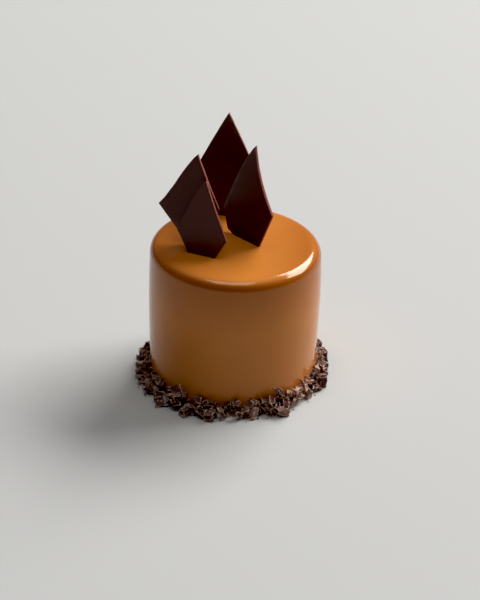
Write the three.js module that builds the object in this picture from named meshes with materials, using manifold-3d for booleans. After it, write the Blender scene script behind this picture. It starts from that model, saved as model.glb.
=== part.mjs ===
// A single-portion hazelnut praline cake: a glazed cylinder with a soft rim, a collar of cocoa nibs
// pressed round its foot, and four pointed shards of dark chocolate standing in its top.
// Millimetres, +Z up. The origin is the middle of the underside; the cake is seen from -Y.
import * as THREE from "three";
import { ConvexGeometry } from "three/addons/geometries/ConvexGeometry.js";
import { mergeVertices } from "three/addons/utils/BufferGeometryUtils.js";
import Module from "manifold-3d";

// The glazed body. Its side swells a little at mid-height, and it stands slightly crooked.
const BASE_RADIUS = 31.7;
const SIDE_BULGE = 0.8;
const HEIGHT = 55.2;
const RIM_INSET = 2.3; // how far the rim's round edge reaches in over the top
const RIM_DROP = 3.4; // and how far it reaches down the side
const LEAN = 0.024; // sideways shift of the body for each millimetre of height
const TOP_TILT = -0.034; // rise of the top for each millimetre towards +X
const ROUND_STEPS = 72;
const SIDE_STEPS = 5;
const RIM_STEPS = 5;

// The chocolate shards, and the slots that hold their feet.
const SHARD_THICKNESS = 1.1;
const FOOT_DEPTH = 3.0; // how deep a shard stands in the cake
const FOOT_TAPER = 0.8; // how much narrower its foot is at the bottom, at each end
const SLOT_GAP = 0.35; // clearance between a shard and its slot
const SLOT_FLARE = 1.0; // sideways growth of a slot for each millimetre above the glaze
const SLOT_RISE = 2.0; // how far the cutter of a slot stands out of the glaze
const EDGE_STEPS = 6; // straight steps along a curved edge

// The nib collar: rings of broken beans, from the glaze outwards and up, and a few beans that stand out.
const NIB_SEED = 16;
const NIB_SIZE = [2.3, 1.8, 1.4]; // half length, width and depth of an average nib
const NIB_SIZE_SPREAD = 0.35; // share by which a half size differs from the average
const NIB_CHIPPING = 0.5; // share of its distance from the middle that a corner may lose
const NIB_STRAY = 0.8; // share of a ring's spacing over which a nib's place varies
const NIB_FLOOR = 0.2; // the lowest height that a nib reaches
const COLLAR_SHIFT = [-0.12, -0.25]; // shift of a nib in X and Y for each millimetre that it stands out
const COLLAR_SLOPE = -0.006; // share by which the collar changes in height for each millimetre towards +X
const NIB_RINGS = [
  { count: 48, out: 1.1, height: 1.6, jitter: 0.5 },
  { count: 50, out: 0.9, height: 4.5, jitter: 1.2 },
  { count: 54, out: 3.3, height: 1.7, jitter: 1.2 },
];
const STANDOUT_NIBS = [
  { round: -59, out: 5.4, height: 2.2, size: [2.6, 2.4, 2.1], yaw: 20 },
  { round: -41, out: 1.1, height: 4.9, size: [3.4, 1.8, 1.7], yaw: 50 },
  { round: -17, out: 3.6, height: 3.0, size: [2.9, 2.6, 2.7], yaw: 100 },
  { round: -103, out: 4.8, height: 1.8, size: [2.5, 2.1, 1.7], yaw: -20 },
  { round: -118, out: 4.4, height: 1.8, size: [2.6, 2.0, 1.7], yaw: 40 },
  { round: -137, out: 4.8, height: 1.7, size: [2.4, 2.1, 1.6], yaw: 10 },
  { round: -129, out: 3.0, height: 4.2, size: [2.4, 2.0, 1.6], yaw: -40 },
];

const materials = {
  glaze: new THREE.MeshStandardMaterial({ color: 0xb87333, roughness: 0.12, metalness: 0 }),
  chocolate: new THREE.MeshStandardMaterial({ color: 0x2a1410, roughness: 0.38, metalness: 0 }),
};

// Each shard stands on the line of its foot. Its corners are [along the foot, up the face]. A long edge is
// a curve whose two inner control points stand out of the straight line by its bow: a bow of the right
// edge is told from the tip down, and one of the left edge from its corner up.
const shards = [
  {
    name: "shard_back",
    foot: [-3.2, 21.7],
    footWidth: 9,
    turn: -12,
    lean: 2,
    tip: [0.2, 43],
    right: [11.9, 19.6],
    left: [-13.7, 13.2],
    bowRight: [0.3, 0.3],
    bowLeft: [0.5, 0.5],
  },
  {
    name: "shard_right",
    foot: [5.5, 2],
    footWidth: 12.8,
    turn: -44,
    lean: 3,
    tip: [1.5, 40],
    right: [12.5, 15.3],
    left: [-12.5, 9.5],
    chip: [-9.8, 1.2], // the corner between the left edge and the foot
    bowRight: [-2.3, -2.3],
    bowLeft: [0.6, 2.4],
  },
  {
    name: "shard_left",
    foot: [-13.2, -4.3],
    footWidth: 6.2,
    turn: -22,
    lean: 8,
    tip: [-2.7, 36.6],
    right: [7.6, 17],
    left: [-16.4, 14.4],
    bowRight: [-0.4, -0.4],
    bowLeft: [-0.9, 1.2],
  },
  {
    name: "shard_front",
    foot: [-11.4, -10.3],
    footWidth: 11,
    turn: -22,
    lean: 6,
    tip: [-0.2, 29.7],
    right: [9.6, 7.9],
    left: [-11.3, 10.3],
    bowRight: [-0.3, -0.3],
    bowLeft: [-2.3, 2.2],
  },
];

const WELD = 1e-4; // corners closer than this are merged

const wasm = await Module();
wasm.setup();

// Numbers from 0 to 1, the same each time for one seed.
function randomFrom(seed) {
  let state = seed >>> 0;
  return () => {
    state = (state + 0x6d2b79f5) >>> 0;
    let mixed = Math.imul(state ^ (state >>> 15), state | 1);
    mixed ^= mixed + Math.imul(mixed ^ (mixed >>> 7), mixed | 61);
    return ((mixed ^ (mixed >>> 14)) >>> 0) / 2 ** 32;
  };
}

// A geometry's positions alone, with its shared corners merged.
function bareMesh(geometry) {
  const bare = geometry.index ? geometry.toNonIndexed() : geometry.clone();
  for (const name of Object.keys(bare.attributes)) {
    if (name !== "position") bare.deleteAttribute(name);
  }
  return mergeVertices(bare, WELD);
}

function solidOf(geometry) {
  const merged = bareMesh(geometry);
  const mesh = new wasm.Mesh({
    numProp: 3,
    vertProperties: merged.attributes.position.array,
    triVerts: new Uint32Array(merged.index.array),
  });
  return new wasm.Manifold(mesh);
}

function geometryOf(solid) {
  const { vertProperties, triVerts } = solid.getMesh();
  const geometry = new THREE.BufferGeometry();
  geometry.setAttribute("position", new THREE.BufferAttribute(vertProperties, 3));
  geometry.setIndex(new THREE.BufferAttribute(triVerts, 1));
  return geometry;
}

function namedMesh(name, solid, material) {
  const mesh = new THREE.Mesh(geometryOf(solid), material);
  mesh.name = name;
  return mesh;
}

// The outer skin of a solid that fusing may have left with sealed hollows and loose scraps.
function outerSkin(solid) {
  return solid.decompose().reduce((most, part) => (part.volume() > most.volume() ? part : most));
}

// Radius of the straight part of the body at height z.
function sideRadius(z) {
  const share = z / HEIGHT;
  return BASE_RADIUS + 4 * SIDE_BULGE * share * (1 - share);
}

// Height of the glazed top at a point's x.
function topHeight(x) {
  return HEIGHT + TOP_TILT * (x - LEAN * HEIGHT);
}

function bodyProfile() {
  const sideTop = HEIGHT - RIM_DROP;
  const points = [new THREE.Vector2(0, 0)];
  for (let i = 0; i <= SIDE_STEPS; i++) {
    const z = (sideTop * i) / SIDE_STEPS;
    points.push(new THREE.Vector2(sideRadius(z), z));
  }
  const rimCentre = sideRadius(sideTop) - RIM_INSET;
  for (let i = 1; i <= RIM_STEPS; i++) {
    const angle = ((Math.PI / 2) * i) / RIM_STEPS;
    const radius = rimCentre + RIM_INSET * Math.cos(angle);
    points.push(new THREE.Vector2(radius, sideTop + RIM_DROP * Math.sin(angle)));
  }
  points.push(new THREE.Vector2(0, HEIGHT));
  return points;
}

function bodySolid() {
  const geometry = new THREE.LatheGeometry(bodyProfile(), ROUND_STEPS);
  geometry.rotateX(Math.PI / 2);
  const position = geometry.attributes.position;
  for (let i = 0; i < position.count; i++) {
    const x = position.getX(i);
    const z = position.getZ(i);
    position.setXYZ(i, x + LEAN * z, position.getY(i), z + TOP_TILT * x * (z / HEIGHT));
  }
  return solidOf(geometry);
}

// The middle of a nib that stands out from the foot of the glaze, at so many degrees round the cake.
function nibMiddle(degrees, out, height) {
  const round = THREE.MathUtils.degToRad(degrees);
  const x = (BASE_RADIUS + out) * Math.cos(round) + COLLAR_SHIFT[0] * out;
  const y = (BASE_RADIUS + out) * Math.sin(round) + COLLAR_SHIFT[1] * out;
  return [x, y, height * (1 + COLLAR_SLOPE * x)];
}

// Each nib of the collar: its middle, half sizes and turn.
function nibPlaces(random) {
  const places = [];
  for (const ring of NIB_RINGS) {
    for (let i = 0; i < ring.count; i++) {
      const degrees = ((i + NIB_STRAY * (random() - 0.5)) / ring.count) * 360;
      const out = ring.out + ring.jitter * (random() - 0.5);
      const height = ring.height + ring.jitter * (random() - 0.5);
      const size = NIB_SIZE.map((half) => half * (1 + NIB_SIZE_SPREAD * (2 * random() - 1)));
      const turn = NIB_SIZE.map(() => random() * 2 * Math.PI);
      places.push({ middle: nibMiddle(degrees, out, height), size, turn });
    }
  }
  for (const nib of STANDOUT_NIBS) {
    const turn = [0, 0, THREE.MathUtils.degToRad(nib.yaw)];
    places.push({ middle: nibMiddle(nib.round, nib.out, nib.height), size: nib.size, turn });
  }
  return places;
}

// A broken bean: the hull of a block's chipped corners, no lower than the floor height.
function nibSolid(place, random) {
  const turn = new THREE.Euler(...place.turn);
  const corners = [];
  for (const x of [-1, 1]) {
    for (const y of [-1, 1]) {
      for (const z of [-1, 1]) corners.push([x, y, z]);
    }
  }
  const points = corners.map((corner) => {
    const point = new THREE.Vector3(...corner).multiplyScalar(1 - NIB_CHIPPING * random());
    point.multiply(new THREE.Vector3(...place.size)).applyEuler(turn);
    point.add(new THREE.Vector3(...place.middle));
    point.z = Math.max(point.z, NIB_FLOOR);
    return point;
  });
  return solidOf(new ConvexGeometry(points));
}

// A curve on from the outline's last point, bowed out of the straight line on its left hand.
function bowedTo(outline, to, bow) {
  const from = outline.currentPoint;
  const chord = new THREE.Vector2(...to).sub(from);
  const outwards = new THREE.Vector2(-chord.y, chord.x).normalize();
  const near = from.clone().addScaledVector(chord, 1 / 3).addScaledVector(outwards, bow[0]);
  const far = from.clone().addScaledVector(chord, 2 / 3).addScaledVector(outwards, bow[1]);
  outline.bezierCurveTo(near.x, near.y, far.x, far.y, ...to);
}

// The outline of a shard, from its tip down its right side and up its left.
function shardOutline(shard) {
  const half = shard.footWidth / 2;
  const outline = new THREE.Shape();
  outline.moveTo(...shard.tip);
  bowedTo(outline, shard.right, shard.bowRight);
  outline.lineTo(half, 0);
  outline.lineTo(half - FOOT_TAPER, -FOOT_DEPTH);
  outline.lineTo(-half + FOOT_TAPER, -FOOT_DEPTH);
  outline.lineTo(-half, 0);
  if (shard.chip) outline.lineTo(...shard.chip);
  outline.lineTo(...shard.left);
  bowedTo(outline, shard.tip, shard.bowLeft);
  return outline;
}

function slotOutline(shard) {
  const half = shard.footWidth / 2 + SLOT_GAP;
  const flared = half + SLOT_FLARE * SLOT_RISE;
  const bottom = -FOOT_DEPTH - SLOT_GAP;
  const outline = new THREE.Shape();
  outline.moveTo(flared, SLOT_RISE);
  outline.lineTo(half, 0);
  outline.lineTo(half, bottom);
  outline.lineTo(-half, bottom);
  outline.lineTo(-half, 0);
  outline.lineTo(-flared, SLOT_RISE);
  return outline;
}

// A plate of one outline, stood on the foot line of its shard, which follows the tilt of the top.
function standingPlate(outline, thickness, shard) {
  const turn = THREE.MathUtils.degToRad(shard.turn);
  const plate = new THREE.ExtrudeGeometry(outline, {
    depth: thickness,
    bevelEnabled: false,
    curveSegments: EDGE_STEPS,
  });
  plate.translate(0, 0, -thickness / 2);
  plate.rotateZ(Math.atan(TOP_TILT * Math.cos(turn)));
  plate.rotateX(Math.PI / 2 - THREE.MathUtils.degToRad(shard.lean));
  plate.rotateZ(turn);
  plate.translate(shard.foot[0], shard.foot[1], topHeight(shard.foot[0]));
  return solidOf(plate);
}

function cakeSolid() {
  const random = randomFrom(NIB_SEED);
  let cake = bodySolid();
  for (const place of nibPlaces(random)) {
    cake = cake.add(nibSolid(place, random));
  }
  for (const shard of shards) {
    cake = cake.subtract(standingPlate(slotOutline(shard), SHARD_THICKNESS + 2 * SLOT_GAP, shard));
  }
  return outerSkin(cake);
}

const part = new THREE.Group();
part.add(namedMesh("cake", cakeSolid(), materials.glaze));
for (const shard of shards) {
  const solid = standingPlate(shardOutline(shard), SHARD_THICKNESS, shard);
  part.add(namedMesh(shard.name, solid, materials.chocolate));
}

export default part;
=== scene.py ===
"""A single-portion praline cake: glossy caramel glaze, a collar of cocoa nibs, four dark chocolate shards.

Sizes are in millimetres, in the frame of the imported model: the origin is the middle of the underside, +Z is
up and the cake is seen from -Y. Each piece is brought to metres when it is finished.
"""

import logging
import math
from contextlib import contextmanager
from dataclasses import dataclass
from enum import Enum
from typing import Callable, Iterator, Sequence

import bpy
from mathutils import Matrix, Vector, noise
from mathutils.bvhtree import BVHTree

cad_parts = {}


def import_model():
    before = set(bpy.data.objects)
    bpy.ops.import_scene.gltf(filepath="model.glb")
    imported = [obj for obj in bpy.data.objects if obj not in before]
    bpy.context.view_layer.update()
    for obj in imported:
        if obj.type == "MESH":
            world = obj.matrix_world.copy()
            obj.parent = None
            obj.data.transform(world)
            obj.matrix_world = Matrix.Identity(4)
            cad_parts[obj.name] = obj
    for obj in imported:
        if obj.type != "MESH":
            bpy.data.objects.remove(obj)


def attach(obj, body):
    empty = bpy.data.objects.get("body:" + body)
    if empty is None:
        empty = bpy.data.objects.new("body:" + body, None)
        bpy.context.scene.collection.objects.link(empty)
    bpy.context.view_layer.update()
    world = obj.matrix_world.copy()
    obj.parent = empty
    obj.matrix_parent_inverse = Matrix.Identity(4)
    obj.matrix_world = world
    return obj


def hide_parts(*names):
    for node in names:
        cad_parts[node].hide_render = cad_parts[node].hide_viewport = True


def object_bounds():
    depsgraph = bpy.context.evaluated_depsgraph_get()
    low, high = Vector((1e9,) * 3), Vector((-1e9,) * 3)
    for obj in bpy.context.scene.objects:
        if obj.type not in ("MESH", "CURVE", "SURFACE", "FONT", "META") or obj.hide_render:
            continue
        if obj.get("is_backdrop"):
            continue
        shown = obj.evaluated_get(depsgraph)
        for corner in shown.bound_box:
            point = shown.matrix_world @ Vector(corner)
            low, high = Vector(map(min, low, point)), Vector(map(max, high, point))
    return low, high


LOG = logging.getLogger("praline_cake")
METRES = 0.001  # metres in a millimetre
BODY = "root"
CAKE_NODE = "cake"
NOISE_SEED = 5  # settles the noise that warps, nicks and ruffles

Colour = tuple[float, float, float]
Place = tuple[float, float]


class Slot(Enum):
    """The record's material slots, one for each kind of finish; each piece is handed one, which is not used."""

    GLAZE = "caramel_glaze"
    CHOCOLATE = "dark_chocolate"
    NIBS = "cocoa_nibs"


class SeededDraws:
    """Numbers from 0 to 1, the same each time for one seed."""

    MASK = 0xFFFFFFFF

    def __init__(self, seed: int) -> None:
        """Starts the draws.

        Args:
            seed: The whole number that settles every draw.
        """
        self.state = seed & self.MASK

    def next(self) -> float:
        """Returns the next number, from 0 up to 1."""
        self.state = (self.state + 0x6D2B79F5) & self.MASK
        mixed = ((self.state ^ (self.state >> 15)) * (self.state | 1)) & self.MASK
        mixed ^= (mixed + (((mixed ^ (mixed >> 7)) * (mixed | 61)) & self.MASK)) & self.MASK
        return ((mixed ^ (mixed >> 14)) & self.MASK) / 2**32

    def between(self, low: float, high: float) -> float:
        """Returns a number from low to high."""
        return low + (high - low) * self.next()

    def turn(self) -> Matrix:
        """Returns a turn about all three axes."""
        angles = [self.next() * 2 * math.pi for _ in range(3)]
        return euler_turn(angles)


def euler_turn(angles: Sequence[float]) -> Matrix:
    """Returns the turn about Z, then Y, then X, by angles given for X, Y and Z in radians."""
    about = [Matrix.Rotation(angle, 3, axis) for angle, axis in zip(angles, "XYZ")]
    return about[0] @ about[1] @ about[2]


class Bench:
    """The modelling bench: what is done by hand to a piece, from its primitive to its place."""

    @staticmethod
    def clear() -> None:
        """Puts everything down, so that an operator acts on the next primitive alone."""
        bpy.ops.object.select_all(action="DESELECT")

    @staticmethod
    def pick(*pieces: bpy.types.Object) -> None:
        """Selects these pieces alone, with the first one active."""
        Bench.clear()
        for piece in pieces:
            piece.select_set(True)
        bpy.context.view_layer.objects.active = pieces[0]

    @staticmethod
    @contextmanager
    def editing(piece: bpy.types.Object, select: str = "SELECT") -> Iterator[None]:
        """Opens a piece in edit mode, with all of it selected or nothing.

        Args:
            piece: The piece to shape.
            select: SELECT for all of its faces, DESELECT for none.

        Yields:
            Nothing; edit mode is closed afterwards.
        """
        Bench.pick(piece)
        bpy.ops.object.mode_set(mode="EDIT")
        bpy.ops.mesh.select_all(action=select)
        yield
        bpy.ops.object.mode_set(mode="OBJECT")

    @staticmethod
    def chain(name: str, points: Sequence[Vector], filled: bool) -> bpy.types.Object:
        """Lays a ring of corners out along an outline.

        Args:
            name: The new piece's name.
            points: The outline's corners, in order.
            filled: Whether the ring holds a face.

        Returns:
            The new piece.
        """
        Bench.clear()
        bpy.ops.mesh.primitive_circle_add(vertices=len(points), fill_type="NGON" if filled else "NOTHING")
        piece = bpy.context.object
        piece.name = name
        for vertex, point in zip(piece.data.vertices, points):
            vertex.co = point
        return piece

    @staticmethod
    def reshape(piece: bpy.types.Object, move: Callable[[Vector], Vector]) -> None:
        """Moves each corner of a piece to where a rule puts it."""
        for vertex in piece.data.vertices:
            vertex.co = move(vertex.co.copy())

    @staticmethod
    def modify(piece: bpy.types.Object, kind: str, **settings: object) -> None:
        """Adds a modifier to a piece and applies it at once."""
        Bench.pick(piece)
        modifier = piece.modifiers.new(kind.lower(), kind)
        for name, value in settings.items():
            setattr(modifier, name, value)
        bpy.ops.object.modifier_apply(modifier=modifier.name)

    @staticmethod
    def joined(name: str, pieces: Sequence[bpy.types.Object]) -> bpy.types.Object:
        """Joins pieces into one and names it.

        Args:
            name: The joined piece's name.
            pieces: The pieces to join.

        Returns:
            The joined piece.
        """
        Bench.pick(*pieces)
        bpy.ops.object.join()
        whole = bpy.context.object
        whole.name = name
        return whole

    @staticmethod
    def smooth(piece: bpy.types.Object, sharp_degrees: float) -> None:
        """Shades a piece smooth, apart from edges sharper than an angle."""
        Bench.pick(piece)
        bpy.ops.object.shade_smooth_by_angle(angle=math.radians(sharp_degrees))

    @staticmethod
    def mark(piece: bpy.types.Object, name: str, share: Callable[[bpy.types.MeshPolygon], float]) -> None:
        """Writes a value on a piece's faces, for its finish to read."""
        values = piece.data.attributes.get(name) or piece.data.attributes.new(name, "FLOAT", "CORNER")
        for polygon in piece.data.polygons:
            value = share(polygon)
            for corner in polygon.loop_indices:
                values.data[corner].value = value

    @staticmethod
    def surface(*pieces: bpy.types.Object) -> BVHTree:
        """Returns the surface of finished pieces in millimetres, to lay other things on."""
        points, faces = [], []
        for piece in pieces:
            first = len(points)
            points += [vertex.co / METRES for vertex in piece.data.vertices]
            faces += [[first + i for i in polygon.vertices] for polygon in piece.data.polygons]
        return BVHTree.FromPolygons(points, faces)

    @staticmethod
    def deliver(
        piece: bpy.types.Object, node: str, slot: Slot, material: bpy.types.Material
    ) -> bpy.types.Object:
        """Brings a piece made in millimetres to metres, dresses it and sets it on the cake's body.

        Args:
            piece: The finished piece, at the origin and unturned.
            node: The solid that it stands for.
            slot: The record's slot for its finish; not used.
            material: Its finish.

        Returns:
            The same piece.
        """
        piece.data.transform(Matrix.Diagonal((METRES, METRES, METRES, 1)))
        piece.data.name = piece.name
        piece.data.materials.clear()
        piece.data.materials.append(material)
        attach(piece, BODY)
        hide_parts(node)
        LOG.info("%s: %d faces", piece.name, len(piece.data.polygons))
        return piece


class NodeSheet:
    """A node tree, written step by step."""

    def __init__(self, tree: bpy.types.NodeTree) -> None:
        """Takes up a node tree.

        Args:
            tree: The tree of a material, a group or the world.
        """
        self.tree = tree

    def add(self, kind: str, inputs: dict[object, object] | None = None, **settings: object) -> bpy.types.Node:
        """Adds a node.

        Args:
            kind: The node's type, such as ShaderNodeMath.
            inputs: Values or other nodes' sockets for its inputs, by name or number.
            **settings: The node's own properties.

        Returns:
            The new node.
        """
        node = self.tree.nodes.new(kind)
        for name, value in settings.items():
            setattr(node, name, value)
        for key, value in (inputs or {}).items():
            if isinstance(value, bpy.types.NodeSocket):
                self.tree.links.new(value, node.inputs[key])
            else:
                node.inputs[key].default_value = value
        return node

    def group(self, group: bpy.types.NodeTree, inputs: dict[object, object]) -> bpy.types.Node:
        """Places a shared node group with its own values."""
        node = self.tree.nodes.new("ShaderNodeGroup")
        node.node_tree = group
        for key, value in inputs.items():
            if isinstance(value, bpy.types.NodeSocket):
                self.tree.links.new(value, node.inputs[key])
            else:
                node.inputs[key].default_value = value
        return node

    def mix(self, share: object, first: object, second: object) -> bpy.types.NodeSocket:
        """Mixes two colours by a share and returns the mixed colour's socket."""
        node = self.add("ShaderNodeMix", data_type="RGBA")
        sockets = {s.identifier: s for s in node.inputs}
        for name, value in (("Factor_Float", share), ("A_Color", first), ("B_Color", second)):
            if isinstance(value, bpy.types.NodeSocket):
                self.tree.links.new(value, sockets[name])
            elif isinstance(value, tuple):
                sockets[name].default_value = (*value, 1.0)
            else:
                sockets[name].default_value = value
        return next(s for s in node.outputs if s.identifier == "Result_Color")

    def math(self, operation: str, first: object, second: object, clamp: bool = False) -> bpy.types.NodeSocket:
        """Adds a Math node and returns its result."""
        node = self.add("ShaderNodeMath", {0: first, 1: second}, operation=operation, use_clamp=clamp)
        return node.outputs[0]

    def ranged(self, value: bpy.types.NodeSocket, low: float, high: float) -> bpy.types.NodeSocket:
        """Stretches a value from 0 to 1 over low to high onto a new range and returns the result."""
        node = self.add("ShaderNodeMapRange", {"Value": value, "To Min": low, "To Max": high})
        return node.outputs["Result"]

    def attribute(self, name: str) -> bpy.types.NodeSocket:
        """Returns the value of a piece's own attribute."""
        return self.add("ShaderNodeAttribute", attribute_name=name).outputs["Fac"]

    def bump(self, height: bpy.types.NodeSocket, strength: float, depth: float) -> bpy.types.NodeSocket:
        """Returns a normal that follows a height, for relief of a depth in millimetres."""
        node = self.add("ShaderNodeBump", {"Height": height, "Strength": strength, "Distance": depth * METRES})
        return node.outputs["Normal"]


class SharedGroups:
    """The effects that more than one finish uses, each built once."""

    @staticmethod
    def sheet(name: str, inputs: dict[str, float], outputs: Sequence[str]) -> tuple[bpy.types.NodeTree, NodeSheet]:
        """Starts a node group.

        Args:
            name: The group's name.
            inputs: Its inputs and their values.
            outputs: The names of its outputs.

        Returns:
            The group and the sheet to write it on.
        """
        tree = bpy.data.node_groups.new(name, "ShaderNodeTree")
        for key, value in inputs.items():
            socket = tree.interface.new_socket(key, in_out="INPUT", socket_type="NodeSocketFloat")
            socket.default_value = value
        for key in outputs:
            tree.interface.new_socket(key, in_out="OUTPUT", socket_type="NodeSocketFloat")
        return tree, NodeSheet(tree)

    @staticmethod
    def mottle() -> bpy.types.NodeTree:
        """Builds the uneven spread of a tone over a surface.

        Returns:
            A group that puts out Mask, for patches of Size millimetres that begin at Edge.
        """
        tree, sheet = SharedGroups.sheet("mottle", {"Size": 2.0, "Edge": 0.5, "Softness": 0.2}, ["Mask"])
        given = sheet.add("NodeGroupInput").outputs
        at = sheet.add("ShaderNodeTexCoord").outputs["Object"]
        scale = sheet.math("DIVIDE", 1 / METRES, given["Size"])
        noise_node = sheet.add("ShaderNodeTexNoise", {"Vector": at, "Scale": scale, "Detail": 4.0, "Roughness": 0.6})
        low = sheet.math("SUBTRACT", given["Edge"], given["Softness"])
        high = sheet.math("ADD", given["Edge"], given["Softness"])
        mask = sheet.add(
            "ShaderNodeMapRange",
            {"Value": noise_node.outputs["Fac"], "From Min": low, "From Max": high},
            interpolation_type="SMOOTHSTEP",
        )
        sheet.add("NodeGroupOutput", {"Mask": mask.outputs["Result"]})
        return tree

    @staticmethod
    def worn_edge() -> bpy.types.NodeTree:
        """Builds the broken line of dust and fresh breaks along an edge.

        Returns:
            A group that puts out Mask: Edge, eaten into by grain of Grain millimetres to the depth Bite.
        """
        tree, sheet = SharedGroups.sheet("worn_edge", {"Edge": 0.0, "Grain": 0.6, "Bite": 0.6}, ["Mask"])
        given = sheet.add("NodeGroupInput").outputs
        at = sheet.add("ShaderNodeTexCoord").outputs["Object"]
        scale = sheet.math("DIVIDE", 1 / METRES, given["Grain"])
        grain = sheet.add("ShaderNodeTexNoise", {"Vector": at, "Scale": scale, "Detail": 3.0}).outputs["Fac"]
        eaten = sheet.math("MULTIPLY", sheet.ranged(grain, -0.9, 2.3), given["Bite"])
        left = sheet.math("SUBTRACT", given["Edge"], eaten)
        sheet.add("NodeGroupOutput", {"Mask": sheet.math("MULTIPLY", left, 1.5, clamp=True)})
        return tree


@dataclass(frozen=True)
class CaramelGlaze:
    """A mirror glaze of caramel: deep amber under a wet gloss, browner where shade is painted over the rim, under it
    and to both sides of the top.
    """

    amber: Colour = (0.61, 0.212, 0.042)
    deep: Colour = (0.57, 0.192, 0.036)
    # painted shade: the glaze's colour over the rim, under it and to both sides of the top
    painted_shade: Colour = (0.33, 0.085, 0.011)
    roughness: float = 0.1
    ior: float = 1.48
    sheen: Colour = (1.0, 0.87, 0.72)  # what the glaze leaves of the light it mirrors straight on
    drift_size: float = 26.0
    ripple_size: float = 9.0
    ripple_depth: float = 0.03

    def build(self, mottle: bpy.types.NodeTree) -> bpy.types.Material:
        """Builds the finish.

        Args:
            mottle: The shared group for uneven tone.

        Returns:
            The material.
        """
        material = bpy.data.materials.new("caramel_glaze")
        material.use_nodes = True
        sheet = NodeSheet(material.node_tree)
        shader = material.node_tree.nodes["Principled BSDF"]
        drift = sheet.group(mottle, {"Size": self.drift_size, "Edge": 0.5, "Softness": 0.25}).outputs["Mask"]
        ripple = sheet.group(mottle, {"Size": self.ripple_size, "Edge": 0.5, "Softness": 0.5}).outputs["Mask"]
        link = sheet.tree.links.new
        tone = sheet.mix(drift, self.amber, self.deep)
        # Painted shade: the glaze is mixed towards its darker colour where the shade mark lies.
        link(sheet.mix(sheet.attribute("painted_shade"), tone, self.painted_shade), shader.inputs["Base Color"])
        link(sheet.ranged(drift, self.roughness, self.roughness + 0.03), shader.inputs["Roughness"])
        link(sheet.bump(ripple, 0.5, self.ripple_depth), shader.inputs["Normal"])
        shader.inputs["IOR"].default_value = self.ior
        shader.inputs["Specular Tint"].default_value = (*self.sheen, 1.0)
        return material


@dataclass(frozen=True)
class DarkChocolate:
    """Tempered dark chocolate set against film: satin faces, and lighter edges where it was snapped."""

    face: Colour = (0.085, 0.028, 0.023)
    cloud: Colour = (0.099, 0.033, 0.027)
    snapped: Colour = (0.27, 0.085, 0.065)
    roughness: float = 0.32
    ior: float = 1.35
    cloud_size: float = 14.0
    grain_size: float = 1.1

    def build(self, mottle: bpy.types.NodeTree, worn_edge: bpy.types.NodeTree) -> bpy.types.Material:
        """Builds the finish.

        Args:
            mottle: The shared group for uneven tone.
            worn_edge: The shared group for broken edges.

        Returns:
            The material.
        """
        material = bpy.data.materials.new("dark_chocolate")
        material.use_nodes = True
        sheet = NodeSheet(material.node_tree)
        shader = material.node_tree.nodes["Principled BSDF"]
        cloud = sheet.group(mottle, {"Size": self.cloud_size, "Edge": 0.5, "Softness": 0.3}).outputs["Mask"]
        grain = sheet.group(mottle, {"Size": self.grain_size, "Edge": 0.5, "Softness": 0.4}).outputs["Mask"]
        snap = sheet.group(
            worn_edge, {"Edge": sheet.attribute("snap"), "Grain": 0.9, "Bite": 0.35}
        ).outputs["Mask"]
        link = sheet.tree.links.new
        face = sheet.mix(cloud, self.face, self.cloud)
        link(sheet.mix(snap, face, self.snapped), shader.inputs["Base Color"])
        soft = sheet.ranged(cloud, self.roughness, self.roughness + 0.08)
        link(sheet.math("ADD", soft, sheet.math("MULTIPLY", snap, 0.25)), shader.inputs["Roughness"])
        link(sheet.bump(grain, 0.25, 0.02), shader.inputs["Normal"])
        shader.inputs["IOR"].default_value = self.ior
        return material


@dataclass(frozen=True)
class CocoaNib:
    """Broken roasted cocoa bean: purplish to reddish faces with a dull sheen, dusty pinkish ridges."""

    name: str = "cocoa_nib"
    dark: Colour = (0.046, 0.019, 0.016)
    red: Colour = (0.18, 0.06, 0.043)
    pale: Colour = (0.82, 0.52, 0.4)
    dust: Colour = (0.9, 0.6, 0.46)
    roughness: float = 0.42
    bite: float = 1.0
    relief: float = 0.22

    def build(self, mottle: bpy.types.NodeTree, worn_edge: bpy.types.NodeTree) -> bpy.types.Material:
        """Builds the finish.

        Args:
            mottle: The shared group for uneven tone.
            worn_edge: The shared group for dusty ridges.

        Returns:
            The material.
        """
        material = bpy.data.materials.new(self.name)
        material.use_nodes = True
        sheet = NodeSheet(material.node_tree)
        shader = material.node_tree.nodes["Principled BSDF"]
        patch = sheet.group(mottle, {"Size": 1.6, "Edge": 0.5, "Softness": 0.12}).outputs["Mask"]
        crumb = sheet.group(mottle, {"Size": 0.5, "Edge": 0.5, "Softness": 0.25}).outputs["Mask"]
        redness = sheet.math("MULTIPLY", sheet.attribute("tone"), sheet.ranged(patch, 0.35, 1.0))
        # The pale mark is partly the nibs' own colour and partly painted light on the side the key light falls on.
        paleness = sheet.math("MULTIPLY", sheet.attribute("pale"), sheet.ranged(crumb, 0.45, 1.0))
        ridge = sheet.group(
            worn_edge, {"Edge": sheet.attribute("ridge"), "Grain": 0.8, "Bite": self.bite}
        ).outputs["Mask"]
        link = sheet.tree.links.new
        face = sheet.mix(paleness, sheet.mix(redness, self.dark, self.red), self.pale)
        link(sheet.mix(ridge, face, self.dust), shader.inputs["Base Color"])
        link(
            sheet.math("ADD", sheet.ranged(crumb, self.roughness - 0.1, self.roughness + 0.15),
                       sheet.math("MULTIPLY", ridge, 0.3)),
            shader.inputs["Roughness"],
        )
        link(sheet.bump(crumb, 0.9, self.relief), shader.inputs["Normal"])
        shader.inputs["IOR"].default_value = 1.5
        return material


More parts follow.
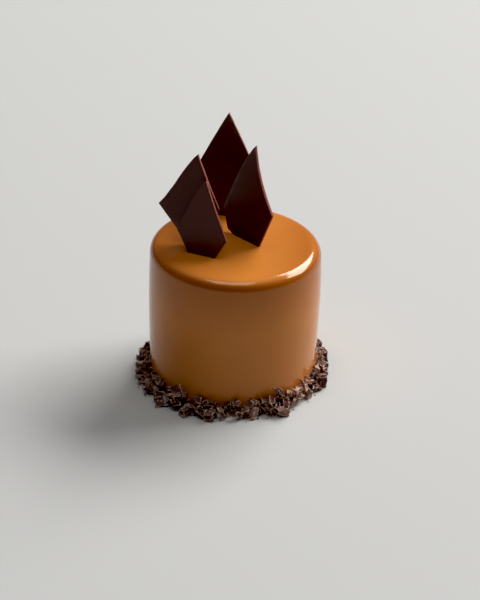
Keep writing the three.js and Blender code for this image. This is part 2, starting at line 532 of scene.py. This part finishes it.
@dataclass(frozen=True)
class PaleFloor:
    """A plain pale studio floor."""

    colour: Colour = (0.50, 0.497, 0.484)

    def build(self) -> bpy.types.Material:
        """Builds the finish and returns the material."""
        material = bpy.data.materials.new("pale_floor")
        material.use_nodes = True
        shader = material.node_tree.nodes["Principled BSDF"]
        shader.inputs["Base Color"].default_value = (*self.colour, 1.0)
        shader.inputs["Roughness"].default_value = 0.85
        shader.inputs["Specular IOR Level"].default_value = 0.2
        return material


@dataclass
class GlazedBody:
    """The glazed cylinder: its side swells a little, its rim is round, and it stands slightly crooked."""

    base_radius: float = 31.6
    flare: float = 0.4
    side_bulge: float = 0.6
    bulge_rise: float = 1.6  # 1 would put the widest place at half the height
    height: float = 55.6
    rim_inset: float = 5.4
    rim_drop: float = 4.8
    rim_fullness: float = 2.4  # 2 would make the rim's section a quarter ellipse
    lean: float = 0.024
    top_tilt: float = -0.034
    foot_round: float = 0.5
    around: int = 180
    side_rings: int = 36
    rim_rings: int = 28
    top_rings: int = 14
    wave_size: float = 24.0
    wave_depth: float = 0.1
    painted_shade_up_to: float = 76.0  # the slope, in degrees, that the painted shade of the rim ends at
    painted_shade_low: float = 0.65  # under 1 brings the darkest painted shade lower down the rim
    painted_shade_sides: float = 0.58  # how dark the painted shade is to the left and right on the top
    painted_shade_below: float = 0.8  # how dark the painted shade is on the side right under the rim
    painted_shade_from: float = 0.62  # the share of the height from which the painted shade begins

    def side_radius(self, z: float) -> float:
        """Returns the radius of the straight part of the side at height z."""
        share = z / self.height
        swell = math.sin(math.pi * share**self.bulge_rise)
        return self.base_radius + self.flare * share + self.side_bulge * swell

    def top_height(self, x: float) -> float:
        """Returns the height of the glazed top at a point's x."""
        return self.height + self.top_tilt * (x - self.lean * self.height)

    def profile(self) -> list[Vector]:
        """Returns the outline from the middle of the underside up to the middle of the top."""
        side_top = self.height - self.rim_drop
        inner = self.base_radius - self.foot_round
        points = [Vector((inner * share, 0, 0)) for share in (0.0, 0.4, 0.8, 1.0)]
        points.append(Vector((self.base_radius - 0.3 * self.foot_round, 0, 0.3 * self.foot_round)))
        for ring in range(self.side_rings + 1):
            z = self.foot_round + (side_top - self.foot_round) * ring / self.side_rings
            points.append(Vector((self.side_radius(z), 0, z)))
        rim_centre = self.side_radius(side_top) - self.rim_inset
        power = 2 / self.rim_fullness
        for ring in range(1, self.rim_rings + 1):
            angle = math.pi / 2 * ring / self.rim_rings
            radius = rim_centre + self.rim_inset * max(0.0, math.cos(angle)) ** power
            points.append(Vector((radius, 0, side_top + self.rim_drop * math.sin(angle) ** power)))
        for ring in range(1, self.top_rings + 1):
            points.append(Vector((rim_centre * (1 - ring / self.top_rings), 0, self.height)))
        return points

    def placed(self, point: Vector) -> Vector:
        """Returns where a point of the true cylinder lies on the crooked, slightly wavy cake."""
        wave = noise.noise(point / self.wave_size) * self.wave_depth
        outwards = Vector((point.x, point.y, 0))
        share = min(1.0, outwards.length / self.base_radius)
        if outwards.length > 0:
            outwards.normalize()
        point = point + outwards * wave * share * min(1.0, point.z)
        rise = self.top_tilt * point.x * point.z / self.height
        return Vector((point.x + self.lean * point.z, point.y, point.z + rise))

    def thickness(self, vertex: bpy.types.MeshVertex) -> float:
        """Returns how much shade is painted at a corner: over the rim, under it, and to both sides of the top."""
        slope = math.degrees(math.asin(max(-1.0, min(1.0, vertex.normal.z))))
        risen = (vertex.co.z / self.height - self.painted_shade_from) / (1 - self.painted_shade_from)
        if risen <= 0:
            return 0.0
        over_rim = math.sin(math.pi * min(1.0, max(0.0, slope) / self.painted_shade_up_to) ** self.painted_shade_low)
        if slope < self.painted_shade_up_to / 2:
            return max(over_rim, risen * self.painted_shade_below)
        sideways = min(1.0, (vertex.co.x / (self.base_radius - self.rim_inset)) ** 2)
        return max(over_rim, sideways * self.painted_shade_sides)

    def mark_painted_shade(self, body: bpy.types.Object) -> None:
        """Marks where shade is painted on the glaze, for its finish to read."""
        painted_shade = body.data.attributes.new("painted_shade", "FLOAT", "POINT")
        for vertex in body.data.vertices:
            painted_shade.data[vertex.index].value = self.thickness(vertex)

    def build(self, material: bpy.types.Material) -> bpy.types.Object:
        """Spins the outline round and sets it crooked.

        Args:
            material: The glaze.

        Returns:
            The finished piece.
        """
        points = self.profile()
        body = Bench.chain("glazed_body", points, filled=False)
        last = len(points) - 1
        with Bench.editing(body, select="DESELECT"):
            bpy.ops.object.mode_set(mode="OBJECT")
            for edge in body.data.edges:
                edge.select = set(edge.vertices) == {0, last}
            bpy.ops.object.mode_set(mode="EDIT")
            bpy.ops.mesh.select_mode(type="EDGE")
            bpy.ops.mesh.delete(type="EDGE_FACE")
            bpy.ops.mesh.select_all(action="SELECT")
            bpy.ops.mesh.spin(steps=self.around, angle=2 * math.pi, center=(0, 0, 0), axis=(0, 0, 1))
            bpy.ops.mesh.select_all(action="SELECT")
            bpy.ops.mesh.remove_doubles(threshold=0.001)
            bpy.ops.mesh.normals_make_consistent(inside=False)
            bpy.ops.mesh.select_mode(type="VERT")
        self.mark_painted_shade(body)
        Bench.reshape(body, self.placed)
        Bench.smooth(body, 60)
        return Bench.deliver(body, CAKE_NODE, Slot.GLAZE, material)


@dataclass(frozen=True)
class ShardCut:
    """One shard: its foot on the cake's top, and its corners as [along the foot, up the face]."""

    name: str
    foot: Place
    foot_width: float
    turn: float
    lean: float
    tip: Place
    right: Place
    left: Place
    bow_right: Place
    bow_left: Place
    chip: Place | None = None
    warp: Place = (0.25, 0.15)  # how far the face bows across and up


SHARD_CUTS = (
    ShardCut(
        name="shard_back_chocolate", foot=(-3.2, 21.7), foot_width=9, turn=-12, lean=2,
        tip=(0.2, 43), right=(11.9, 19.6), left=(-13.7, 13.2), bow_right=(0.3, 0.3), bow_left=(0.5, 0.5),
    ),
    ShardCut(
        name="shard_right_chocolate", foot=(5.5, 2), foot_width=12.8, turn=-44, lean=3,
        tip=(1.5, 40), right=(12.5, 15.3), left=(-12.5, 9.5), chip=(-9.8, 1.2),
        bow_right=(-2.3, -2.3), bow_left=(0.6, 2.4),
    ),
    ShardCut(
        name="shard_left_chocolate", foot=(-13.2, -4.3), foot_width=6.2, turn=-22, lean=8,
        tip=(-2.7, 36.6), right=(7.6, 17), left=(-16.4, 14.4), bow_right=(-0.4, -0.4), bow_left=(-0.9, 1.2),
    ),
    ShardCut(
        name="shard_front_chocolate", foot=(-11.4, -10.3), foot_width=11, turn=-22, lean=6,
        tip=(-0.2, 29.7), right=(9.6, 7.9), left=(-11.3, 10.3), bow_right=(-0.3, -0.3), bow_left=(-2.3, 2.2),
    ),
)


@dataclass
class ChocolateShard:
    """A thin plate of chocolate, snapped to a point and stood in the cake."""

    cut: ShardCut
    body: GlazedBody
    thickness: float = 1.1
    foot_depth: float = 3.0
    foot_taper: float = 0.8
    edge_steps: int = 14
    edge_round: float = 0.13
    cut_spacing: float = 2.6
    nick_size: float = 2.2
    nick_depth: float = 0.09

    def bowed(self, start: Place, end: Place, bow: Place) -> list[Vector]:
        """Works out a long edge that bows out of its straight line.

        Args:
            start: Where the edge begins.
            end: Where it ends.
            bow: How far its two inner control points stand out on the left hand.

        Returns:
            The edge's points after its start.
        """
        first, last = Vector(start), Vector(end)
        chord = last - first
        outwards = Vector((-chord.y, chord.x)).normalized()
        near = first + chord / 3 + outwards * bow[0]
        far = first + chord * 2 / 3 + outwards * bow[1]
        points = []
        for step in range(1, self.edge_steps + 1):
            t = step / self.edge_steps
            s = 1 - t
            points.append(first * s**3 + near * 3 * s * s * t + far * 3 * s * t * t + last * t**3)
        return points

    def outline(self) -> list[Vector]:
        """Returns the plate's outline, from its tip down its right side and up its left."""
        cut = self.cut
        half = cut.foot_width / 2
        points = self.bowed(cut.tip, cut.right, cut.bow_right)
        points += [Vector((half, 0)), Vector((half - self.foot_taper, -self.foot_depth))]
        points += [Vector((-half + self.foot_taper, -self.foot_depth)), Vector((-half, 0))]
        if cut.chip:
            points.append(Vector(cut.chip))
        points.append(Vector(cut.left))
        points += self.bowed(cut.left, cut.tip, cut.bow_left)
        return [point.to_3d() for point in points]

    def standing(self) -> Matrix:
        """Returns the move that stands the plate on its foot line, which follows the tilt of the top."""
        cut, body = self.cut, self.body
        turn = math.radians(cut.turn)
        x, y = cut.foot
        along = Matrix.Rotation(math.atan(body.top_tilt * math.cos(turn)), 4, "Z")
        upright = Matrix.Rotation(math.pi / 2 - math.radians(cut.lean), 4, "X")
        return Matrix.Translation((x, y, body.top_height(x))) @ Matrix.Rotation(turn, 4, "Z") @ upright @ along

    def slice_plate(self, plate: bpy.types.Object) -> None:
        """Cuts the plate into a grid, so that it can warp as one sheet."""
        low = min(vertex.co.x for vertex in plate.data.vertices)
        high = max(vertex.co.x for vertex in plate.data.vertices)
        top = max(vertex.co.y for vertex in plate.data.vertices)
        cuts = [(Vector((low + self.cut_spacing * i, 0, 0)), (1, 0, 0))
                for i in range(1, int((high - low) / self.cut_spacing) + 1)]
        cuts += [(Vector((0, self.cut_spacing * i, 0)), (0, 1, 0))
                 for i in range(0, int(top / self.cut_spacing) + 1)]
        with Bench.editing(plate):
            for place, normal in cuts:
                bpy.ops.mesh.select_all(action="SELECT")
                bpy.ops.mesh.bisect(plane_co=place, plane_no=normal)

    def warped(self, point: Vector) -> Vector:
        """Returns where a point of the flat plate lies on the warped, nicked one."""
        cut = self.cut
        across, up = point.x / 12, point.y / cut.tip[1]
        rise = cut.warp[0] * (across * across - 0.3) + cut.warp[1] * math.sin(math.pi * max(0.0, up))
        nick = noise.noise_vector(point / self.nick_size + Vector((cut.turn, cut.foot[1], 0)))
        return point + Vector((nick.x * self.nick_depth, nick.y * self.nick_depth, rise * min(1.0, max(0.0, up * 4))))

    def mark_snapped(self, plate: bpy.types.Object) -> None:
        """Marks the faces of the broken rim, which face sideways."""
        snap = plate.data.attributes.new("snap", "FLOAT", "CORNER")
        for polygon in plate.data.polygons:
            share = 1.0 if abs(polygon.normal.z) < 0.5 else 0.0
            for corner in polygon.loop_indices:
                snap.data[corner].value = share

    def build(self, node: str, material: bpy.types.Material) -> bpy.types.Object:
        """Cuts, rounds, warps and stands the shard.

        Args:
            node: The solid that the shard stands for.
            material: The chocolate.

        Returns:
            The finished piece.
        """
        points = self.outline()
        plate = Bench.chain(self.cut.name, points, filled=True)
        with Bench.editing(plate):
            bpy.ops.mesh.extrude_region_move(TRANSFORM_OT_translate={"value": (0, 0, self.thickness)})
            bpy.ops.mesh.select_all(action="SELECT")
            bpy.ops.mesh.normals_make_consistent(inside=False)
            bpy.ops.mesh.select_all(action="DESELECT")
            bpy.ops.mesh.select_mode(type="EDGE")
            bpy.ops.mesh.edges_select_sharp(sharpness=math.radians(50))
            bpy.ops.mesh.bevel(offset=self.edge_round, segments=2, affect="EDGES", clamp_overlap=True)
            bpy.ops.mesh.select_mode(type="VERT")
        plate.data.transform(Matrix.Translation((0, 0, -self.thickness / 2)))
        self.slice_plate(plate)
        Bench.reshape(plate, self.warped)
        self.mark_snapped(plate)
        plate.data.transform(self.standing())
        Bench.smooth(plate, 35)
        return Bench.deliver(plate, node, Slot.CHOCOLATE, material)


@dataclass(frozen=True)
class NibRing:
    """One ring of nibs: how many, how far out of the glaze's foot, how high, and how uneven."""

    count: int
    out: float
    height: float
    jitter: float


@dataclass(frozen=True)
class StandoutNib:
    """A nib that stands out of the rings, at so many degrees round the cake."""

    round: float
    out: float
    height: float
    size: tuple[float, float, float]
    yaw: float
    pale: float = 0.0


@dataclass
class NibPlace:
    """Where one nib lies, its half sizes, its turn, and how pale it is where that is settled."""

    middle: Vector
    size: Vector
    turn: Matrix
    pale: float | None = None


@dataclass
class NibCollar:
    """The collar of broken cocoa beans round the cake's foot."""

    body: GlazedBody
    seed: int = 16
    size: tuple[float, float, float] = (2.3, 1.8, 1.4)
    size_spread: float = 0.35
    chipping: float = 0.5
    stray: float = 0.8
    floor: float = 0.2
    shift: Place = (-0.12, -0.25)
    slope: float = -0.006
    rings: tuple[NibRing, ...] = (
        NibRing(48, 1.1, 1.6, 0.5),
        NibRing(50, 0.9, 4.5, 1.2),
        NibRing(54, 3.3, 1.7, 1.2),
    )
    standouts: tuple[StandoutNib, ...] = (
        StandoutNib(-59, 5.4, 2.2, (2.6, 2.4, 2.1), 20, 0.12),
        StandoutNib(-41, 1.1, 4.9, (3.4, 1.8, 1.7), 50, 1.0),
        StandoutNib(-17, 3.6, 3.0, (2.9, 2.6, 2.7), 100),
        StandoutNib(-103, 4.8, 1.8, (2.5, 2.1, 1.7), -20),
        StandoutNib(-118, 4.4, 1.8, (2.6, 2.0, 1.7), 40),
        StandoutNib(-137, 4.8, 1.7, (2.4, 2.1, 1.6), 10),
        StandoutNib(-129, 3.0, 4.2, (2.4, 2.0, 1.6), -40),
    )
    heaped: tuple[StandoutNib, ...] = (
        StandoutNib(10, 2.6, 5.4, (2.7, 2.2, 2.0), 70),
        StandoutNib(21, 2.2, 6.2, (2.0, 2.2, 1.9), 15),
        StandoutNib(-4, 2.6, 4.6, (2.2, 1.7, 1.6), -35),
        StandoutNib(13, 4.2, 3.2, (2.0, 2.4, 2.6), 15, 0.0),
        StandoutNib(24, 5.2, 3.6, (2.0, 2.3, 2.7), 35, 0.0),
    )
    pale_share: float = 0.08
    lit_side_stretch: Place = (-53, -22)  # degrees round the cake on the side the key light falls on, where more of them are pale: painted light
    lit_side_pale_share: float = 0.6
    facet_degrees: float = 24
    ridge_width: float = 0.32
    lip_width: float = 0.22
    dent_depth: float = 0.26
    warp_size: float = 2.1
    warp_depth: float = 0.6
    fold_size: float = 1.25
    fold_depth: float = 0.22

    def middle(self, degrees: float, out: float, height: float) -> Vector:
        """Returns the middle of a nib that stands so far out of the glaze's foot."""
        angle = math.radians(degrees)
        x = (self.body.base_radius + out) * math.cos(angle) + self.shift[0] * out
        y = (self.body.base_radius + out) * math.sin(angle) + self.shift[1] * out
        return Vector((x, y, height * (1 + self.slope * x)))

    def places(self, draws: SeededDraws) -> list[NibPlace]:
        """Works out every nib's place.

        Args:
            draws: The collar's draws, which the nibs' corners go on with.

        Returns:
            The places, ring by ring, with the nibs that stand out last.
        """
        places = []
        for ring in self.rings:
            for i in range(ring.count):
                degrees = (i + self.stray * (draws.next() - 0.5)) / ring.count * 360
                out = ring.out + ring.jitter * (draws.next() - 0.5)
                height = ring.height + ring.jitter * (draws.next() - 0.5)
                size = [half * (1 + self.size_spread * (2 * draws.next() - 1)) for half in self.size]
                places.append(NibPlace(self.middle(degrees, out, height), Vector(size), draws.turn()))
        for nib in self.standouts + self.heaped:
            turn = euler_turn((0, 0, math.radians(nib.yaw)))
            places.append(NibPlace(self.middle(nib.round, nib.out, nib.height), Vector(nib.size), turn, nib.pale))
        return places

    def crumple(self, nib: bpy.types.Object, number: int) -> None:
        """Warps a nib out of its straight lines and raises thin folds over its faces.

        Args:
            nib: The nib, cut fine.
            number: The nib's number, which settles its folds.
        """
        shift = Vector((number * 7.3, number * 3.1, 0))
        normals = [vertex.normal.copy() for vertex in nib.data.vertices]
        crests = []
        for vertex, normal in zip(nib.data.vertices, normals):
            at = vertex.co + shift
            crest = max(0.0, 1 - 6 * abs(noise.noise(at / self.fold_size)))
            crests.append(crest)
            vertex.co += noise.noise_vector(at / self.warp_size) * self.warp_depth
            vertex.co += normal * self.fold_depth * (crest - 0.4)
        ridge = nib.data.attributes["ridge"]
        for corner, loop in zip(ridge.data, nib.data.loops):
            corner.value = max(corner.value, 0.75 * crests[loop.vertex_index])

    def nib(self, place: NibPlace, draws: SeededDraws, number: int, looks: SeededDraws) -> bpy.types.Object:
        """Breaks one nib out of a block: chipped corners, ridged edges, cupped and folded faces.

        Args:
            place: Where it lies.
            draws: The collar's draws.
            number: The nib's number, which settles its folds.
            looks: The draws for its colours.

        Returns:
            The nib, in its place.
        """
        Bench.clear()
        bpy.ops.mesh.primitive_cube_add(size=2)
        nib = bpy.context.object
        corners = sorted(nib.data.vertices, key=lambda vertex: tuple(vertex.co))
        for vertex in corners:
            corner = vertex.co * (1 - self.chipping * draws.next())
            corner = place.middle + place.turn @ (corner * place.size)
            corner.z = max(corner.z, self.floor)
            vertex.co = corner
        with Bench.editing(nib):
            bpy.ops.mesh.convex_hull()
            bpy.ops.mesh.select_all(action="SELECT")
            bpy.ops.mesh.dissolve_limited(angle_limit=math.radians(self.facet_degrees))
        tone = looks.next()
        round_cake = math.degrees(math.atan2(place.middle.y, place.middle.x))
        # On the side the key light falls on, more nibs are made pale: painted light, over the nibs that are pale
        # anywhere.
        first, last = self.lit_side_stretch
        share = self.lit_side_pale_share if first < round_cake < last else self.pale_share
        pale = looks.between(0.5, 1.0) if looks.next() < share else 0.0
        pale = pale if place.pale is None else place.pale
        Bench.mark(nib, "tone", lambda _: min(1.0, tone * looks.between(0.4, 1.6)))
        Bench.mark(nib, "pale", lambda _: max(pale, looks.between(-1.2, 0.4)))
        with Bench.editing(nib):
            bpy.ops.mesh.bevel(offset=self.ridge_width / 2, segments=1, affect="EDGES", clamp_overlap=True)
            bpy.ops.mesh.select_mode(type="FACE")
            bpy.ops.mesh.select_all(action="INVERT")
            bpy.ops.mesh.inset(thickness=self.lip_width, depth=-self.dent_depth, use_individual=True)
            bpy.ops.mesh.poke(offset=-self.dent_depth / 3)
        Bench.mark(nib, "ridge", lambda polygon: 0.0 if polygon.select else 1.0)
        with Bench.editing(nib):
            bpy.ops.mesh.subdivide(number_cuts=2)
        self.crumple(nib, number)
        return nib

    def build(self, material: bpy.types.Material) -> bpy.types.Object:
        """Makes every nib and joins them.

        Args:
            material: The nibs' finish.

        Returns:
            The finished piece.
        """
        draws = SeededDraws(self.seed)
        looks = SeededDraws(self.seed + 1)
        nibs = []
        for number, place in enumerate(self.places(draws)):
            nibs.append(self.nib(place, draws, number, looks))
        collar = Bench.joined("nib_collar", nibs)
        Bench.reshape(collar, lambda point: Vector((point.x, point.y, max(point.z, 0.05))))
        Bench.smooth(collar, 28)
        return Bench.deliver(collar, CAKE_NODE, Slot.NIBS, material)


@dataclass(frozen=True)
class Flake:
    """One bit of husk, at so many degrees round the cake: its size, its turns and how pale it is."""

    round: float
    out: float
    length: float
    width: float
    yaw: float
    pitch: float
    roll: float
    pale: float


@dataclass
class HuskFlakes:
    """Thin curled bits of husk that lie on the nibs and stand among them."""

    collar: NibCollar
    resting_on: BVHTree
    seed: int = 8
    strewn: int = 34
    placed: tuple[Flake, ...] = (
        Flake(-129, 3.4, 3.6, 3.4, -120, 20, 0, 0.35),
        Flake(-124.5, 1.6, 4.2, 2.4, 55, 72, 20, 0.3),
        Flake(-81, 2.6, 4.4, 2.2, 4, 4, -35, 0.75),
        Flake(-57, 0.6, 4.8, 2.2, 120, 62, 60, 0.4),
        Flake(-54, 1.2, 4.6, 2.0, 100, 58, -50, 0.3),
        Flake(0, 4.4, 4.4, 1.8, 165, 8, -70, 0.8),
        Flake(-9, 4.6, 3.4, 1.6, 150, 12, -60, 0.9),
        Flake(-26, 2.0, 4.2, 1.6, 105, 50, 70, 0.7),
    )
    thickness: float = 0.26
    curl: float = 1.1  # how far round the cylinder the width goes, in radians
    ruffle: float = 0.25
    sunk: float = 0.45

    def shape(self, flake: Flake, number: int) -> bpy.types.Object:
        """Cuts one flake out of a small grid and curls it.

        Args:
            flake: Its sizes.
            number: Its number, which settles its ruffle.

        Returns:
            The flake, with the end that it stands on at the origin and its length along Y.
        """
        Bench.clear()
        bpy.ops.mesh.primitive_grid_add(x_subdivisions=5, y_subdivisions=6, size=2)
        piece = bpy.context.object
        rim = piece.data.attributes.new("ridge", "FLOAT", "POINT")
        reach = flake.width / 2 / self.curl
        for vertex in piece.data.vertices:
            x, y = vertex.co.x, vertex.co.y
            x, y = x * math.sqrt(1 - y * y / 2), y * math.sqrt(1 - x * x / 2)
            rim.data[vertex.index].value = min(1.0, x * x + y * y) ** 4
            bumps = noise.noise_vector(Vector((x, y, number * 3.7)) * 1.3) * self.ruffle
            angle = x * self.curl
            vertex.co = Vector((reach * math.sin(angle) * (1 + bumps.x), (y + 1) / 2 * flake.length * (1 + bumps.y),
                                reach * (1 - math.cos(angle)) + bumps.z))
        Bench.modify(piece, "SOLIDIFY", thickness=self.thickness, offset=0.0)
        Bench.mark(piece, "tone", lambda _: 0.7)
        Bench.mark(piece, "pale", lambda _: flake.pale)
        return piece

    def settle(self, flake: Flake, piece: bpy.types.Object) -> None:
        """Turns a flake and sets its lower end into whatever lies below it."""
        over = self.collar.middle(flake.round, flake.out, 0)
        found, normal, _, _ = self.resting_on.ray_cast(Vector((over.x, over.y, 20)), Vector((0, 0, -1)))
        foot = found - normal * self.sunk if found and found.z > 0 else Vector((over.x, over.y, self.thickness / 2))
        turn = (Matrix.Rotation(math.radians(flake.yaw), 4, "Z") @ Matrix.Rotation(math.radians(flake.pitch), 4, "X")
                @ Matrix.Rotation(math.radians(flake.roll), 4, "Y"))
        piece.data.transform(Matrix.Translation(foot) @ turn)

    def scattered(self, draws: SeededDraws) -> list[Flake]:
        """Draws the flakes that lie about at random."""
        flakes = []
        for i in range(self.strewn):
            length = draws.between(1.9, 3.4)
            flakes.append(Flake(
                round=(i + draws.next()) / self.strewn * 360, out=draws.between(1.8, 4.0),
                length=length, width=length * draws.between(0.45, 0.85),
                yaw=draws.between(0, 360), pitch=draws.between(-5, 42), roll=draws.between(-60, 60),
                pale=draws.between(0.0, 0.7),
            ))
        return flakes

    def build(self, material: bpy.types.Material) -> bpy.types.Object:
        """Makes every flake and joins them.

        Args:
            material: The nibs' finish.

        Returns:
            The finished piece.
        """
        pieces = []
        for number, flake in enumerate((*self.placed, *self.scattered(SeededDraws(self.seed)))):
            piece = self.shape(flake, number)
            self.settle(flake, piece)
            pieces.append(piece)
        husks = Bench.joined("husk_flakes", pieces)
        Bench.reshape(husks, lambda point: Vector((point.x, point.y, max(point.z, 0.05))))
        Bench.smooth(husks, 40)
        return Bench.deliver(husks, CAKE_NODE, Slot.NIBS, material)


@dataclass
class Crumbs:
    """The dust of the nibs: small crumbs on the nibs and at their feet."""

    collar: NibCollar
    resting_on: BVHTree
    seed: int = 9
    count: int = 170
    out: Place = (2.0, 5.6)
    size: Place = (0.22, 0.5)

    def build(self, material: bpy.types.Material) -> bpy.types.Object:
        """Makes every crumb and joins them.

        Args:
            material: The nibs' finish.

        Returns:
            The finished piece.
        """
        draws = SeededDraws(self.seed)
        crumbs = []
        for number in range(self.count):
            place = self.collar.middle(draws.between(0, 360), draws.between(*self.out), 0)
            size = draws.between(*self.size)
            found, _, _, _ = self.resting_on.ray_cast(Vector((place.x, place.y, 20)), Vector((0, 0, -1)))
            place.z = found.z - size * 0.3 if found and found.z > size else size * 0.7
            Bench.clear()
            bpy.ops.mesh.primitive_ico_sphere_add(subdivisions=1, radius=size)
            crumb = bpy.context.object
            crumb.data.transform(Matrix.Translation(place) @ draws.turn().to_4x4()
                                 @ Matrix.Diagonal((1, draws.between(0.5, 1), draws.between(0.4, 0.8), 1)))
            tone, pale = draws.next(), draws.between(-0.6, 0.9)
            Bench.mark(crumb, "tone", lambda _, value=tone: value)
            Bench.mark(crumb, "pale", lambda _, value=pale: max(0.0, value))
            crumbs.append(crumb)
        dust = Bench.joined("nib_crumbs", crumbs)
        Bench.reshape(dust, lambda point: Vector((point.x, point.y, max(point.z, 0.05))))
        with Bench.editing(dust):
            bpy.ops.transform.vertex_random(offset=self.size[0] / 4, uniform=1.0, seed=self.seed)
        Bench.smooth(dust, 20)
        return Bench.deliver(dust, CAKE_NODE, Slot.NIBS, material)


@dataclass(frozen=True)
class SoftBox:
    """A studio light: its bearing from straight behind the cake, its height, and its face."""

    name: str
    bearing: float
    elevation: float
    distance: float
    width: float
    length: float
    power: float
    colour: Colour = (1.0, 1.0, 1.0)

    def build(self, target: Vector) -> bpy.types.Object:
        """Hangs the light.

        Args:
            target: What it shines at, in metres.

        Returns:
            The light.
        """
        lamp = bpy.data.lights.new(self.name, "AREA")
        lamp.shape = "RECTANGLE"
        lamp.size, lamp.size_y = self.width, self.length
        lamp.energy, lamp.color = self.power, self.colour
        light = bpy.data.objects.new(self.name, lamp)
        bpy.context.scene.collection.objects.link(light)
        bearing, elevation = math.radians(self.bearing), math.radians(self.elevation)
        away = Vector((math.sin(bearing) * math.cos(elevation), math.cos(bearing) * math.cos(elevation),
                       math.sin(elevation)))
        light.location = target + away * self.distance
        light.rotation_euler = (-away).to_track_quat("-Z", "Y").to_euler()
        return light


@dataclass
class Studio:
    """The pale floor, the soft lights and the camera."""

    floor_size: float = 6.0
    target: Vector = Vector((0, 0, 0.03))
    lights: tuple[SoftBox, ...] = (
        SoftBox("key_right_back", 50, 41, 3.0, 2.6, 1.25, 139.0),
        SoftBox("top_wide", 0, 86, 2.6, 3.0, 3.0, 5.0),
        SoftBox("top_near", 180, 89, 2.4, 1.25, 1.25, 17.5),
    )
    dark_side: float = 0.04  # the room's light behind the camera
    bright_side: float = 0.1  # and behind the cake
    black_level: float = 0.01  # light below this prints as black
    camera_place: tuple[float, float, float] = (0.0, -1098.3, 656.8)
    camera_aim: tuple[float, float, float] = (2.87, 0.0, 30.85)
    camera_roll: float = 0.1065
    camera_lens: float = 200.25

    def floor(self) -> bpy.types.Object:
        """Lays the floor and returns it."""
        Bench.clear()
        bpy.ops.mesh.primitive_plane_add(size=self.floor_size)
        floor = bpy.context.object
        floor.name = "studio_floor"
        floor.data.materials.append(PaleFloor().build())
        floor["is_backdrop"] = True
        return floor

    def camera(self) -> bpy.types.Object:
        """Sets the camera at the photograph's angle and returns it."""
        data = bpy.data.cameras.new("camera")
        data.lens, data.sensor_width = self.camera_lens, 36.0
        camera = bpy.data.objects.new("camera", data)
        bpy.context.scene.collection.objects.link(camera)
        place, aim = Vector(self.camera_place) * METRES, Vector(self.camera_aim) * METRES
        level = (aim - place).to_track_quat("-Z", "Y").to_matrix()
        camera.location = place
        camera.rotation_euler = (level @ Matrix.Rotation(math.radians(self.camera_roll), 3, "Z")).to_euler()
        data.clip_start, data.clip_end = 0.05, 20.0
        bpy.context.scene.camera = camera
        return camera

    def build(self) -> None:
        """Sets up the whole studio."""
        scene = bpy.context.scene
        scene.view_settings.view_transform = "Standard"
        scene.view_settings.use_curve_mapping = True
        scene.view_settings.curve_mapping.black_level = (self.black_level,) * 3
        scene.view_settings.curve_mapping.update()
        world = bpy.data.worlds.new("studio")
        world.use_nodes = True
        sheet = NodeSheet(world.node_tree)
        bearing = sheet.add("ShaderNodeSeparateXYZ", {0: sheet.add("ShaderNodeTexCoord").outputs["Generated"]})
        light = sheet.add(
            "ShaderNodeMapRange",
            {"Value": bearing.outputs["Y"], "From Min": 0.0, "From Max": 0.8,
             "To Min": self.dark_side, "To Max": self.bright_side},
            interpolation_type="SMOOTHSTEP",
        )
        background = world.node_tree.nodes["Background"]
        background.inputs["Color"].default_value = (1.0, 1.0, 1.0, 1.0)
        world.node_tree.links.new(light.outputs["Result"], background.inputs["Strength"])
        scene.world = world
        self.floor()
        for light in self.lights:
            light.build(self.target)
        self.camera()
        LOG.info("studio: %d lights", len(self.lights))


def corners() -> list[list[float]]:
    """Returns the lowest and highest corner of what is shown, as plain lists."""
    return [list(corner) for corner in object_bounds()]


def main() -> None:
    """Builds the cake piece by piece in its studio."""
    logging.basicConfig(level=logging.INFO, format="%(name)s %(message)s")
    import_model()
    noise.seed_set(NOISE_SEED)
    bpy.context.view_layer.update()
    mottle, worn_edge = SharedGroups.mottle(), SharedGroups.worn_edge()
    Studio().build()
    body = GlazedBody()
    body.build(CaramelGlaze().build(mottle))
    chocolate = DarkChocolate().build(mottle, worn_edge)
    for cut in SHARD_CUTS:
        ChocolateShard(cut, body).build(cut.name.removesuffix("_chocolate"), chocolate)
    nib_finish = CocoaNib().build(mottle, worn_edge)
    collar = NibCollar(body)
    nibs = Bench.surface(collar.build(nib_finish))
    HuskFlakes(collar, nibs).build(nib_finish)
    Crumbs(collar, nibs).build(nib_finish)


if __name__ == "__main__":
    main()
